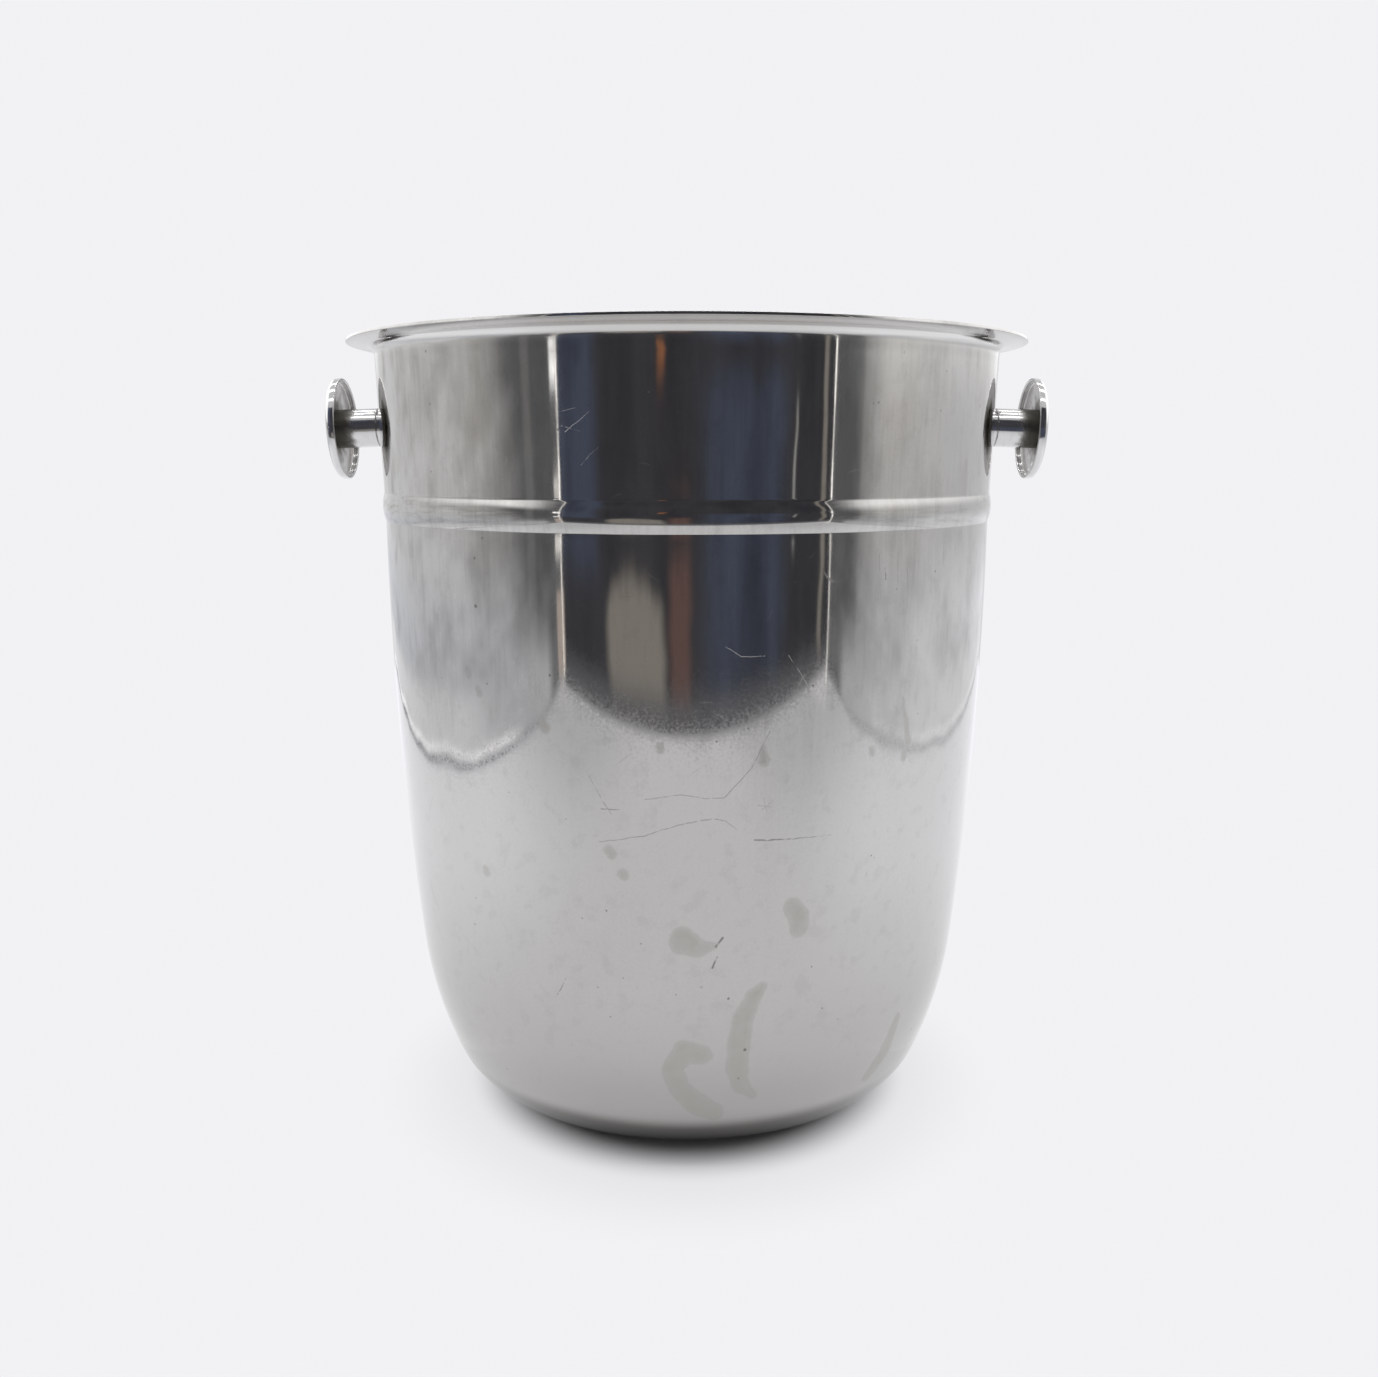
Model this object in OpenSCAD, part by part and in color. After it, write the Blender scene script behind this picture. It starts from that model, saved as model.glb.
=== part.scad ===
// Champagne bucket: a deep-drawn steel shell with a flared brim, one rolled bead
// and two knob handles, each held through the wall by a screw from inside.
// Millimetres. The origin is the centre of the base, on the table. +Z is up,
// and the knobs stand out along -X and +X.

/* [Shell] */
// Height from the table to the top of the brim
height = 225; // [200:1:250]
// Thickness of the sheet steel
sheet = 0.8; // [0.6:0.1:1.2]
// Outside diameter of the wall under the bead
wall_d = 180.7; // [165:0.1:184]
// Outward lean of the wall above the bead, in degrees
upper_flare = 2; // [0.6:0.1:3]

/* [Brim] */
// Outside diameter of the brim
brim_d = 200; // [196:0.5:210]
// Upward slope of the brim, in degrees
brim_slope = 9; // [2:1:20]
// Outside radius of the bend between the wall and the brim
brim_bend_r = 3; // [1.5:0.1:4]

/* [Bead] */
// Drop from the top of the brim to the crest of the bead
bead_drop = 46.8; // [43:0.2:60]
// Radius of the bead's round face
bead_r = 12; // [8:0.5:16]
// Step from the wall under the bead out to the crest
bead_step = 0.8; // [0.6:0.05:1]
// Step from the wall over the bead out to the crest
bead_proud = 0.7; // [0.3:0.05:1]
// Radius of the sharp crease under the bead
crease_r = 0.8; // [0.4:0.1:2]
// Radius of the soft run-out over the bead
runout_r = 3; // [1:0.5:6]

/* [Base] */
// Radius of the heel, next to the table
heel_r = 20.5; // [15:0.5:26]
// Turn of the heel, in degrees from flat
heel_turn = 66.4; // [60:0.2:72]
// Radius of the side above the heel
side_r = 118; // [90:1:150]
// Slope of the wall where the side ends, in degrees from flat
side_end = 83.8; // [81.5:0.1:86]
// Length of the upright wall between the belly's curve and the bead
upright_h = 2; // [0.5:0.5:20]
// Width of the flat ring that the bucket stands on
foot_w = 8; // [5:0.5:12]
// Lift of the base's centre above the table
base_lift = 2; // [1:0.25:3]
// Radius of the two bends between the foot and the base's centre
base_bend_r = 8; // [5:0.5:12]

/* [Knob] */
// Drop from the top of the brim to the knob's axis at the wall
knob_drop = 24; // [22:0.5:29]
// Outside diameter of the knob's dish
knob_d = 30; // [26:0.5:36]
// Gap for the fingers between the wall and the dish's rim
finger_gap = 12.3; // [10:0.1:18]
// Depth of the dish's straight rim
rim_depth = 1.5; // [1:0.1:4]
// Outside radius of the dish's corner
corner_r = 1.2; // [1:0.1:2.4]
// Radius of the dish's domed face
dome_r = 90; // [60:1:140]
// Thickness of the dish's metal
dish_t = 0.8; // [0.5:0.1:0.9]
// Diameter of the stem
stem_d = 11.5; // [9:0.5:14]
// Diameter of the stem's spigot, which is riveted into the dish
spigot_d = 6; // [4:0.5:7]

/* [Fixing] */
// Thickness of the saddle washer between the wall and the stem, where it is thinnest
saddle_t = 2.2; // [1.2:0.1:3]
// Diameter of the screw
screw_d = 5; // [4:0.5:6]
// Length of the screw under its head
screw_l = 12; // [10:0.5:13]
// Diameter of the screw's head
head_d = 9.5; // [8:0.5:11]
// Height of the screw's head
head_h = 3; // [2.2:0.1:4]
// Radius of the rounded edge of the screw's head
head_round = 1.2; // [0.6:0.1:1.6]
// Width of the driver slot
slot_w = 1.2; // [0.8:0.1:1.6]
// Depth of the driver slot
slot_depth = 1.4; // [0.8:0.1:1.8]
// Diameter of the flat washer and the sealing washer inside the wall
washer_d = 15; // [12:0.5:18]
// Thickness of the flat washer
washer_t = 1.2; // [0.8:0.1:1.6]
// Thickness of the sealing washer where it is thinnest
seal_t = 0.8; // [0.5:0.1:1.5]
// Depth of the tapped hole past the tip of the screw
tap_runout = 1.5; // [0.5:0.1:2]
// Clearance all round the screw in the wall and the washers
pass_clearance = 0.25; // [0.1:0.05:0.5]
// Clearance all round a thread in its hole and the spigot in the dish
fit_clearance = 0.05; // [0.02:0.01:0.1]

/* [Hidden] */
$fn = 128;
CORE_FN = 480;
CHORD_ERROR = 0.01;
OVERCUT = 1;
LEFT = -1;
RIGHT = 1;
STEEL = [0.75, 0.75, 0.76];
TURNED_STEEL = [0.70, 0.70, 0.71];
SEAL_BLACK = [0.05, 0.05, 0.055];

function unit(a) = [cos(a), sin(a)];
function reversed(points) = [for (i = [len(points) - 1:-1:0]) points[i]];
// Points along an arc about c, from angle a0 to angle a1, close enough to the true curve
function arc(c, r, a0, a1) =
    let (steps = ceil(abs(a1 - a0) / (2 * acos(1 - CHORD_ERROR / r))))
    [for (i = [0:steps]) c + r * unit(a0 + (a1 - a0) * i / steps)];

// Bead: a round face about bead_c, with a fillet to the wall on each side
wall_r = wall_d / 2;
bead_c = [wall_r + bead_step - bead_r, height - bead_drop];
crease_turn = acos(1 - bead_step / (bead_r + crease_r));
crease_c = bead_c + (bead_r + crease_r) * unit(-crease_turn);
// The wall over the bead is a cone, and upper_r is its radius at the crest's height
upper_r = wall_r + bead_step - bead_proud;
runout_cos = (runout_r + (upper_r - bead_c.x) * cos(upper_flare)) / (bead_r + runout_r);
runout_turn = acos(runout_cos) - upper_flare;
runout_c = bead_c + (bead_r + runout_r) * unit(runout_turn);
function upper_wall_r(z) = upper_r + (z - bead_c.y) * tan(upper_flare);

// Brim: the lip is a half round, and the bend touches the upper wall and the brim's underside
lip_r = sheet / 2;
lip_c = [brim_d / 2 - lip_r, height - lip_r];
under_lip = lip_c + lip_r * unit(brim_slope - 90);
wall_line = brim_bend_r + upper_r * cos(upper_flare) - bead_c.y * sin(upper_flare);
brim_line = brim_bend_r + under_lip.x * sin(brim_slope) - under_lip.y * cos(brim_slope);
brim_bend_c = [
    wall_line * cos(brim_slope) - brim_line * sin(upper_flare),
    wall_line * sin(brim_slope) - brim_line * cos(upper_flare)
] / cos(upper_flare + brim_slope);

// Belly: three arcs that run into each other from the heel up to the upright wall
heel_end = heel_turn - 90;
side_top = side_end - 90;
upright_z = crease_c.y - upright_h;
side_top_z = heel_r * (1 - cos(heel_turn)) + side_r * (cos(heel_turn) - cos(side_end));
belly_r = (upright_z - side_top_z) / cos(side_end);
belly_c = [wall_r - belly_r, upright_z];
side_c = belly_c + (belly_r - side_r) * unit(side_top);
heel_c = side_c + (side_r - heel_r) * unit(heel_end);

// Base: two equal bends lift the centre off the table, inside the flat foot
base_turn = acos(1 - base_lift / (2 * base_bend_r));
foot_bend_c = [heel_c.x - foot_w, base_bend_r];
lift_bend_c = foot_bend_c + 2 * base_bend_r * unit(-90 - base_turn);

// The shell's outside, from the base's centre to the brim, moved inwards by off
function shell_face(off) = concat(
    [[0, base_lift + off]],
    arc(lift_bend_c, base_bend_r + off, 90, 90 - base_turn),
    arc(foot_bend_c, base_bend_r - off, -90 - base_turn, -90),
    arc(heel_c, heel_r - off, -90, heel_end),
    arc(side_c, side_r - off, heel_end, side_top),
    arc(belly_c, belly_r - off, side_top, 0),
    arc(crease_c, crease_r + off, 180, 180 - crease_turn),
    arc(bead_c, bead_r - off, -crease_turn, runout_turn),
    arc(runout_c, runout_r + off, 180 + runout_turn, 180 - upper_flare),
    arc(brim_bend_c, brim_bend_r + off, 180 - upper_flare, 90 + brim_slope)
);

// The round body inside that face, filled: it shapes the washers that seat on the curved wall
module shell_core(off) {
    face = shell_face(off);
    top = face[len(face) - 1];
    rotate_extrude($fn = CORE_FN) polygon(concat(face, [[0, top.y]]));
}

// Knob: u runs along the knob's axis, square to the wall, from the wall's outside face outwards
knob_z = height - knob_drop;
knob_wall_r = upper_wall_r(knob_z);
corner_c = [knob_d / 2 - corner_r, finger_gap + rim_depth];
dome_c = [0, corner_c.y - sqrt(pow(dome_r - corner_r, 2) - pow(corner_c.x, 2))];
dome_edge = atan2(corner_c.y - dome_c.y, corner_c.x);
spigot_hole_r = spigot_d / 2 + fit_clearance;
// Place along u of the dish's dome, moved inwards by off, at radius r
function dome_u(r, off) = dome_c.y + sqrt(pow(dome_r - off, 2) - r * r);
stem_end_u = dome_u(stem_d / 2, dish_t);
spigot_end_u = dome_u(spigot_d / 2, 0);

// Fixing: the seal, the washer and the screw's head follow each other inwards from the wall
pass_d = screw_d + 2 * pass_clearance;
tap_d = screw_d + 2 * fit_clearance;
inner_r = knob_wall_r - sheet;
seal_hollow = inner_r - sqrt(pow(inner_r, 2) - pow(washer_d / 2, 2));
seal_u = -sheet - seal_hollow - seal_t;
washer_u = seal_u - washer_t;
head_u = washer_u - head_h;
screw_tip_u = washer_u + screw_l;
tap_end_u = screw_tip_u + tap_runout;

// Turns a piece drawn along +Z into the axis of the left or the right knob
module on_knob_axis(side) {
    mirror([side == LEFT ? 1 : 0, 0, 0])
        translate([knob_wall_r, 0, knob_z]) rotate([0, 90 + upper_flare, 0]) children();
}

// A round bar or hole along the knob's axis
module bar(d, u0, u1) {
    translate([0, 0, u0]) cylinder(d = d, h = u1 - u0);
}

// A flat ring that the screw passes through
module ring(d, u0, u1) {
    difference() {
        bar(d, u0, u1);
        bar(pass_d, u0 - OVERCUT, u1 + OVERCUT);
    }
}

module bucket_shell() {
    color(STEEL) difference() {
        rotate_extrude() polygon(concat(
            shell_face(0),
            arc(lip_c, lip_r, brim_slope - 90, brim_slope + 90),
            reversed(shell_face(sheet))
        ));
        for (side = [LEFT, RIGHT]) on_knob_axis(side) bar(pass_d, seal_u, saddle_t);
    }
}

// The dish's outside from its rim to the hole in its centre, moved inwards by off
function dish_face(off) = concat(
    arc(corner_c, corner_r - off, 0, dome_edge),
    arc(dome_c, dome_r - off, dome_edge, acos(spigot_hole_r / (dome_r - off)))
);

module knob_dish(side) {
    rim_c = [knob_d / 2 - dish_t / 2, finger_gap + dish_t / 2];
    color(STEEL) on_knob_axis(side) rotate_extrude() polygon(concat(
        dish_face(0),
        reversed(dish_face(dish_t)),
        arc(rim_c, dish_t / 2, -180, 0)
    ));
}

module knob_stem(side) {
    color(TURNED_STEEL) on_knob_axis(side) difference() {
        union() {
            bar(stem_d, saddle_t, stem_end_u);
            bar(spigot_d, stem_end_u - OVERCUT, spigot_end_u);
        }
        bar(tap_d, saddle_t - OVERCUT, tap_end_u);
    }
}

module saddle_washer(side) {
    color(TURNED_STEEL) difference() {
        on_knob_axis(side) ring(stem_d, -sheet, saddle_t);
        shell_core(0);
    }
}

module seal_washer(side) {
    color(SEAL_BLACK) intersection() {
        on_knob_axis(side) ring(washer_d, seal_u, 0);
        shell_core(sheet);
    }
}

module flat_washer(side) {
    color(TURNED_STEEL) on_knob_axis(side) ring(washer_d, washer_u, seal_u);
}

module fixing_screw(side) {
    head_edge_c = [head_d / 2 - head_round, head_u + head_round];
    color(TURNED_STEEL) on_knob_axis(side) difference() {
        rotate_extrude() polygon(concat(
            [[0, head_u]],
            arc(head_edge_c, head_round, -90, 0),
            [[head_d / 2, washer_u], [screw_d / 2, washer_u], [screw_d / 2, screw_tip_u], [0, screw_tip_u]]
        ));
        translate([-slot_w / 2, -head_d, head_u - OVERCUT]) cube([slot_w, 2 * head_d, slot_depth + OVERCUT]);
    }
}

bucket_shell();
knob_dish(LEFT);  // left_knob_dish
knob_dish(RIGHT);  // right_knob_dish
knob_stem(LEFT);  // left_knob_stem
knob_stem(RIGHT);  // right_knob_stem
saddle_washer(LEFT);  // left_saddle_washer
saddle_washer(RIGHT);  // right_saddle_washer
seal_washer(LEFT);  // left_seal_washer
seal_washer(RIGHT);  // right_seal_washer
flat_washer(LEFT);  // left_flat_washer
flat_washer(RIGHT);  // right_flat_washer
fixing_screw(LEFT);  // left_fixing_screw
fixing_screw(RIGHT);  // right_fixing_screw
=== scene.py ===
# %% [markdown]
# # A polished steel champagne bucket
# The bucket is one sheet of stainless steel, drawn deep, with a rolled bead and a flared brim.
# Two knobs are screwed through its wall. This lesson dresses the CAD model of it: the CAD gives every
# place and size, and Blender gives smooth mirror surfaces and a worn, polished finish.
# The frame is loaded first.

# %% Load the frame
import math

import bmesh
import bpy
from mathutils import Matrix, Vector


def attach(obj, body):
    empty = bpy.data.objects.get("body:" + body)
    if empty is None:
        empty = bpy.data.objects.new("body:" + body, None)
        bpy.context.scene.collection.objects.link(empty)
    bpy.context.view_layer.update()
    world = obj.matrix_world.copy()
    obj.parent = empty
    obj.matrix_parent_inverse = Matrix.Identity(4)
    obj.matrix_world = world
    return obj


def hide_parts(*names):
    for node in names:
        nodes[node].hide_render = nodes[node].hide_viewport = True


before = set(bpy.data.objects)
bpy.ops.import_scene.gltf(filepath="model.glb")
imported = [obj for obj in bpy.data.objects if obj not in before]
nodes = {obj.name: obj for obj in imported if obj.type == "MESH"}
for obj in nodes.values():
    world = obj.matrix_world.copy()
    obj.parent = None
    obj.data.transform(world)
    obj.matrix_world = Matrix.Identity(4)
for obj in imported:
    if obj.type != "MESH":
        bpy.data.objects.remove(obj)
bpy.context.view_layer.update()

# %% [markdown]
# The camera comes before any shape, so that each render can be laid beside the photograph.
# Its place, its tilt and its lens were found by fitting the outline of the bucket: it stands
# close to the bucket, a little below the brim, and looks slightly down.

# %% Camera
SENSOR_WIDTH = 36.0
LENS = 34.43
CAMERA_PLACE = (0.0006, -0.409, 0.193)
CAMERA_PITCH = math.radians(79.91)

lens = bpy.data.cameras.new("camera")
lens.sensor_width = SENSOR_WIDTH
lens.lens = LENS
lens.clip_start = 0.01
camera = bpy.data.objects.new("camera", lens)
camera.location = CAMERA_PLACE
camera.rotation_euler = (CAMERA_PITCH, 0.0, 0.0)
bpy.context.scene.collection.objects.link(camera)
bpy.context.scene.camera = camera
bpy.context.scene.view_settings.view_transform = "Standard"
print("camera at", CAMERA_PLACE, "lens", LENS)

# %% [markdown]
# Materials are graphs of nodes. Wiring each node by hand hides the idea behind many lines, so one small
# class wraps a socket and lets Python's own operators add the Math nodes. Its method `make` makes
# any other node from its type, its settings and what goes into its sockets.


# %% A socket that can be written as maths
class Flow:
    def __init__(self, tree, socket=None):
        self.tree = tree
        self.socket = socket

    def make(self, kind, settings=None, sockets=None, out=0):
        node = self.tree.nodes.new(kind)
        for name, value in (settings or {}).items():
            setattr(node, name, value)
        for key, value in (sockets or {}).items():
            if isinstance(value, Flow):
                self.tree.links.new(value.socket, node.inputs[key])
            else:
                node.inputs[key].default_value = value
        return Flow(self.tree, node.outputs[out] if node.outputs else None)

    def math(self, operation, a, b=0.0):
        return self.make("ShaderNodeMath", {"operation": operation}, {0: a, 1: b})

    def __add__(self, other):
        return self.math("ADD", self, other)

    def __sub__(self, other):
        return self.math("SUBTRACT", self, other)

    def __rsub__(self, other):
        return self.math("SUBTRACT", other, self)

    def __mul__(self, other):
        return self.math("MULTIPLY", self, other)

    __radd__ = __add__
    __rmul__ = __mul__

    def __abs__(self):
        return self.math("ABSOLUTE", self)

    def at_most(self, other):
        return self.math("MINIMUM", self, other)

    def at_least(self, other):
        return self.math("MAXIMUM", self, other)

    def step(self, low, high, to_low=0.0, to_high=1.0):
        """A smooth step from to_low, where the value is low, to to_high, where it is high."""
        settings = {"interpolation_type": "SMOOTHSTEP"}
        return self.make("ShaderNodeMapRange", settings, {0: self, 1: low, 2: high, 3: to_low, 4: to_high})


print("socket maths ready")

# %% [markdown]
# A few nodes come in every material: the mix of two colours, the split of a place into x, y and z, and soft
# noise. Each gets a short word here, so that a finish reads like a recipe. Every pattern reads Object
# coordinates, which stay with the piece when it is moved or exported.


# %% Small words for nodes that come often
def new_material(name):
    material = bpy.data.materials.new(name)
    material.use_nodes = True
    material.node_tree.nodes.clear()
    return material, Flow(material.node_tree)


def blend(flow, factor, one, other):
    """Colour one, turned towards the other colour by a factor from 0 to 1."""
    one, other = [colour if isinstance(colour, Flow) else (*colour, 1.0) for colour in (one, other)]
    return flow.make("ShaderNodeMix", {"data_type": "RGBA"}, {0: factor, 6: one, 7: other}, out=2)


def object_place(flow):
    return flow.make("ShaderNodeTexCoord", out="Object")


def split(flow, vector):
    node = flow.make("ShaderNodeSeparateXYZ", None, {0: vector}).socket.node
    return [Flow(flow.tree, socket) for socket in node.outputs]


def noise(flow, vector, stretch, detail=2.0, seed=0.0):
    """Soft noise over a place, with its own count of waves per metre along x, y and z."""
    scaled = flow.make("ShaderNodeMapping", {"vector_type": "POINT"}, {0: vector, 3: stretch})
    sockets = {"Vector": scaled, "W": seed, "Scale": 1.0, "Detail": detail}
    return flow.make("ShaderNodeTexNoise", {"noise_dimensions": "4D"}, sockets)


def band(value, low, high, soft):
    """1 between low and high and 0 outside, with soft borders."""
    return value.step(low - soft, low + soft) * value.step(high - soft, high + soft, 1.0, 0.0)


def glowing(flow, colour):
    colour = colour if isinstance(colour, Flow) else (*colour, 1.0)
    glow = flow.make("ShaderNodeEmission", None, {"Color": colour, "Strength": 1.0})
    flow.make("ShaderNodeOutputMaterial", None, {"Surface": glow})


print("node words ready")

# %% [markdown]
# Polished steel shows little of its own: it shows what stands around it. So the stage is part of the
# finish. The bucket stood on a white table between two white side walls, with the dark room in front.
# Only reflections see the walls and the room. The camera sees the pale floor and a white surround,
# from any side. The floor fades into that surround away from the bucket, and keeps the bucket's shadow.

# %% Stage: the white surround
SURROUND = (0.885, 0.885, 0.905)
FILL_LEVEL = 0.15

world = bpy.data.worlds.new("surround")
world.use_nodes = True
bpy.context.scene.world = world
world.node_tree.nodes.clear()
sky = Flow(world.node_tree)
seen = sky.make("ShaderNodeLightPath", out="Is Camera Ray")
for ray in ("Is Glossy Ray", "Is Transmission Ray"):
    seen = seen.at_least(sky.make("ShaderNodeLightPath", out=ray))
fill = sky.make("ShaderNodeBackground", None, {"Color": (*SURROUND, 1.0), "Strength": FILL_LEVEL})
shown = sky.make("ShaderNodeBackground", None, {"Color": (*SURROUND, 1.0), "Strength": 1.0})
mixed = sky.make("ShaderNodeMixShader", None, {0: seen, 1: fill, 2: shown})
sky.make("ShaderNodeOutputWorld", None, {"Surface": mixed})
print("surround", SURROUND)

# %% [markdown]
# Everything on the stage is a flat panel. A panel is a grid of one face, laid out by half its length and half
# its height. Most panels are seen by reflections alone, so they can stand anywhere, even between the
# camera and the bucket, without hiding it.


# %% Stage: flat panels
def finish_piece(bm, name, *materials):
    mesh = bpy.data.meshes.new(name)
    bm.to_mesh(mesh)
    bm.free()
    for material in materials:
        mesh.materials.append(material)
    piece = bpy.data.objects.new(name, mesh)
    bpy.context.scene.collection.objects.link(piece)
    return piece


def panel(name, material, centre, along, up):
    """A flat stage panel about centre, with half its sides along two directions."""
    bm = bmesh.new()
    bmesh.ops.create_grid(bm, x_segments=1, y_segments=1, size=1.0)
    along, up = Vector(along), Vector(up)
    turn = Matrix((along, up, along.cross(up))).transposed().to_4x4()
    bmesh.ops.transform(bm, matrix=Matrix.Translation(centre) @ turn, verts=bm.verts)
    piece = finish_piece(bm, name, material)
    return piece


def reflected_panel(name, material, centre, along, up):
    """A panel that reflections see, and the camera, diffuse light and shadows don't."""
    piece = panel(name, material, centre, along, up)
    piece.visible_camera = False
    piece.visible_diffuse = False
    piece.visible_shadow = False
    piece.visible_volume_scatter = False


print("panel words ready")

# %% [markdown]
# The floor is chalk white near the bucket, where real light falls on it and the bucket's shadow stays. Further
# out it turns into an even glow, as bright as the surround, so that no horizon shows. The shadow's
# middle lies a little to the front, because the strip lamps hang a little towards the back.

# %% Stage: the floor
FLOOR_HALF = 2.0
FLOOR_WHITE = (0.86, 0.86, 0.875)
SHADOW_CENTRE, SHADOW_SQUEEZE = (0.0, -0.010, 0.0), (1.065, 1.0, 1.0)
SHADOW_CORE, SHADOW_EDGE, SHADOW_FOOT = (0.0535, 0.0745), (0.066, 0.106), (0.054, 0.072)
CORE_SHARE, EDGE_SHARE = 0.85, 0.15


def vector_math(flow, operation, one, other):
    return flow.make("ShaderNodeVectorMath", {"operation": operation}, {0: one, 1: other})


def vector_number(flow, operation, one, other=(0.0, 0.0, 0.0)):
    """The number that Vector Math gives for a length, a distance or a dot product."""
    return flow.make("ShaderNodeVectorMath", {"operation": operation}, {0: one, 1: other}, out="Value")


floor_white, flow = new_material("floor_white")
place = object_place(flow)
foot = vector_number(flow, "LENGTH", place)
reach = vector_number(flow, "DISTANCE", vector_math(flow, "MULTIPLY", place, SHADOW_SQUEEZE), SHADOW_CENTRE)
clear = reach.step(*SHADOW_CORE) * CORE_SHARE + reach.step(*SHADOW_EDGE) * EDGE_SHARE
clear = clear.at_most(foot.step(*SHADOW_FOOT))
chalk = flow.make("ShaderNodeBsdfDiffuse", None, {"Color": (*FLOOR_WHITE, 1.0)})
glow = flow.make("ShaderNodeEmission", None, {"Color": (*SURROUND, 1.0), "Strength": 1.0})
faded = flow.make("ShaderNodeMixShader", None, {0: clear, 1: chalk, 2: glow})
flow.make("ShaderNodeOutputMaterial", None, {"Surface": faded})
panel("floor", floor_white, (0, 0, 0), (FLOOR_HALF, 0, 0), (0, FLOOR_HALF, 0))
print("floor", 2 * FLOOR_HALF, "m wide")

# %% [markdown]
# The side walls are white cloth that hangs down to the table. It lies in shade at its front edge, grows
# pale towards the back, and ends in a wavy hem that lifts near the front. The wall glows with these tones,
# so no lamp has to be aimed at it. Its noise has many more waves up than along, because the round steel
# squeezes a wall's length far more than its height.

# %% Stage: tones and lines of the side walls
ROOF_HEIGHT = 0.75
WALL_BACK = 0.75
SIDE_WALLS = {"left": (-0.408, -0.454), "right": (0.436, -0.391)}
RAMP = {"left": (0.035, 0.215), "right": (0.07, 0.225)}
RAMP_LEAN = {"left": 0.6, "right": 0.0}
SPREAD = {"left": (0.27, 0.42), "right": (0.20, 0.50)}
CRUMPLE = {"left": 1.5, "right": 0.8}
CLOTH_COOL = {"left": (0.550, 0.562, 0.590), "right": (0.660, 0.668, 0.695)}
CLOTH_WARM = {"left": (0.600, 0.588, 0.570), "right": (0.805, 0.792, 0.770)}
FAR_LOW = {"left": (0.780, 0.800, 0.850), "right": (1.050, 1.065, 1.110)}
FAR_HIGH = {"left": (0.880, 0.885, 0.905), "right": (0.760, 0.765, 0.790)}
CLOTH_DIM, CLOTH_LOW = (0.150, 0.150, 0.157), (0.64, 0.64, 0.66)
CLOTH_TOP = (1.55, 1.55, 1.56)
TOP_START = {"left": 0.230, "right": 0.190}
TOP_END = 0.310
print("side walls at", [wall[0] for wall in SIDE_WALLS.values()])

# %% Stage: the hung cloth of the side walls
FOLD_WAVES, CREASE_WAVES, DRAPE_WAVES = (1.0, 7.0, 24.0), (1.0, 26.0, 70.0), (8.0, 6.0, 1.0)
CREASE_SHARE, DRAPE_SLANT = 0.8, 4.0
NEAR_RISE, FAR_RISE = (0.09, 0.19), (0.07, 0.17)
FAR_SHARE, FAR_LEAST, DIM_CRUMPLE = 0.7, 0.15, 0.5
LOW_RISE, LOW_RUN = (0.02, 0.11, 1.0, 0.0), (0.045, 0.085)
STRIPE, STRIPE_SHARE = (0.118, 0.150, 0.008), 0.18


def wrinkles(flow, place, depth, above):
    """Broad folds, small creases and slanted drapes, as a number about zero."""
    folds = noise(flow, place, FOLD_WAVES, 3.0) - 0.5
    creases = noise(flow, place, CREASE_WAVES, 4.0, seed=2.0) - 0.5
    slanted = flow.make("ShaderNodeCombineXYZ", None, {0: depth + above * DRAPE_SLANT, 1: above})
    drape = noise(flow, slanted, DRAPE_WAVES, 3.0, seed=9.0) - 0.5
    return folds + creases * CREASE_SHARE + drape


def hung_cloth(flow, side, place, along, depth, above):
    """The cloth from its shaded front edge to its pale back."""
    wrinkle = wrinkles(flow, place, depth, above)
    near = blend(flow, above.step(*NEAR_RISE), CLOTH_COOL[side], CLOTH_WARM[side])
    far = blend(flow, above.step(*FAR_RISE), FAR_LOW[side], FAR_HIGH[side])
    spread = along.step(*SPREAD[side]) * FAR_SHARE + FAR_LEAST
    cloth = blend(flow, spread + wrinkle * CRUMPLE[side], near, far)
    dim = blend(flow, above.step(*LOW_RISE) * along.step(*LOW_RUN), CLOTH_DIM, CLOTH_LOW)
    dim = blend(flow, band(along, *STRIPE) * STRIPE_SHARE, dim, near)
    ramp = (along - above * RAMP_LEAN[side]).step(*RAMP[side])
    return blend(flow, ramp + wrinkle * DIM_CRUMPLE, dim, cloth)


print("hung cloth ready")

# %% Stage: the hem of the side walls and the table below it
HEM_LIGHT, HEM_FOLD, HEM_SHADE = (1.00, 1.00, 1.03), (1.35, 1.35, 1.38), (0.38, 0.38, 0.41)
HEM_LINE, HEM_WAVE = {"left": 0.001, "right": 0.006}, {"left": 0.020, "right": 0.012}
HEM_DEPTH, HEM_WAVES = {"left": 1.0, "right": 0.4}, (1.0, 9.0, 0.0)
HEM_RISE, HEM_REACH = 0.024, 0.14
LIT_UP, LIT_RUN = (0.012, 0.050, 0.012), (0.22, 0.48, 0.10, 0.75)
FOLD_UP, FOLD_RUN = (0.007, 0.014, 0.002), (0.17, 0.26)
SHADE_UP, HEM_END, TOP_RUN = (0.000, 0.006, 0.0015), (-0.003, 0.000, 1.0, 0.0), (0.0, 0.25)
TABLE_LIGHT, TABLE_FRONT = (1.09, 1.10, 1.145), (0.72, 0.725, 0.745)
TABLE_FADE = (-0.40, -0.08)


def table_tone(flow, depth):
    """The lit table, which dims towards the open front."""
    return blend(flow, depth.step(*TABLE_FADE), TABLE_FRONT, TABLE_LIGHT)


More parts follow.
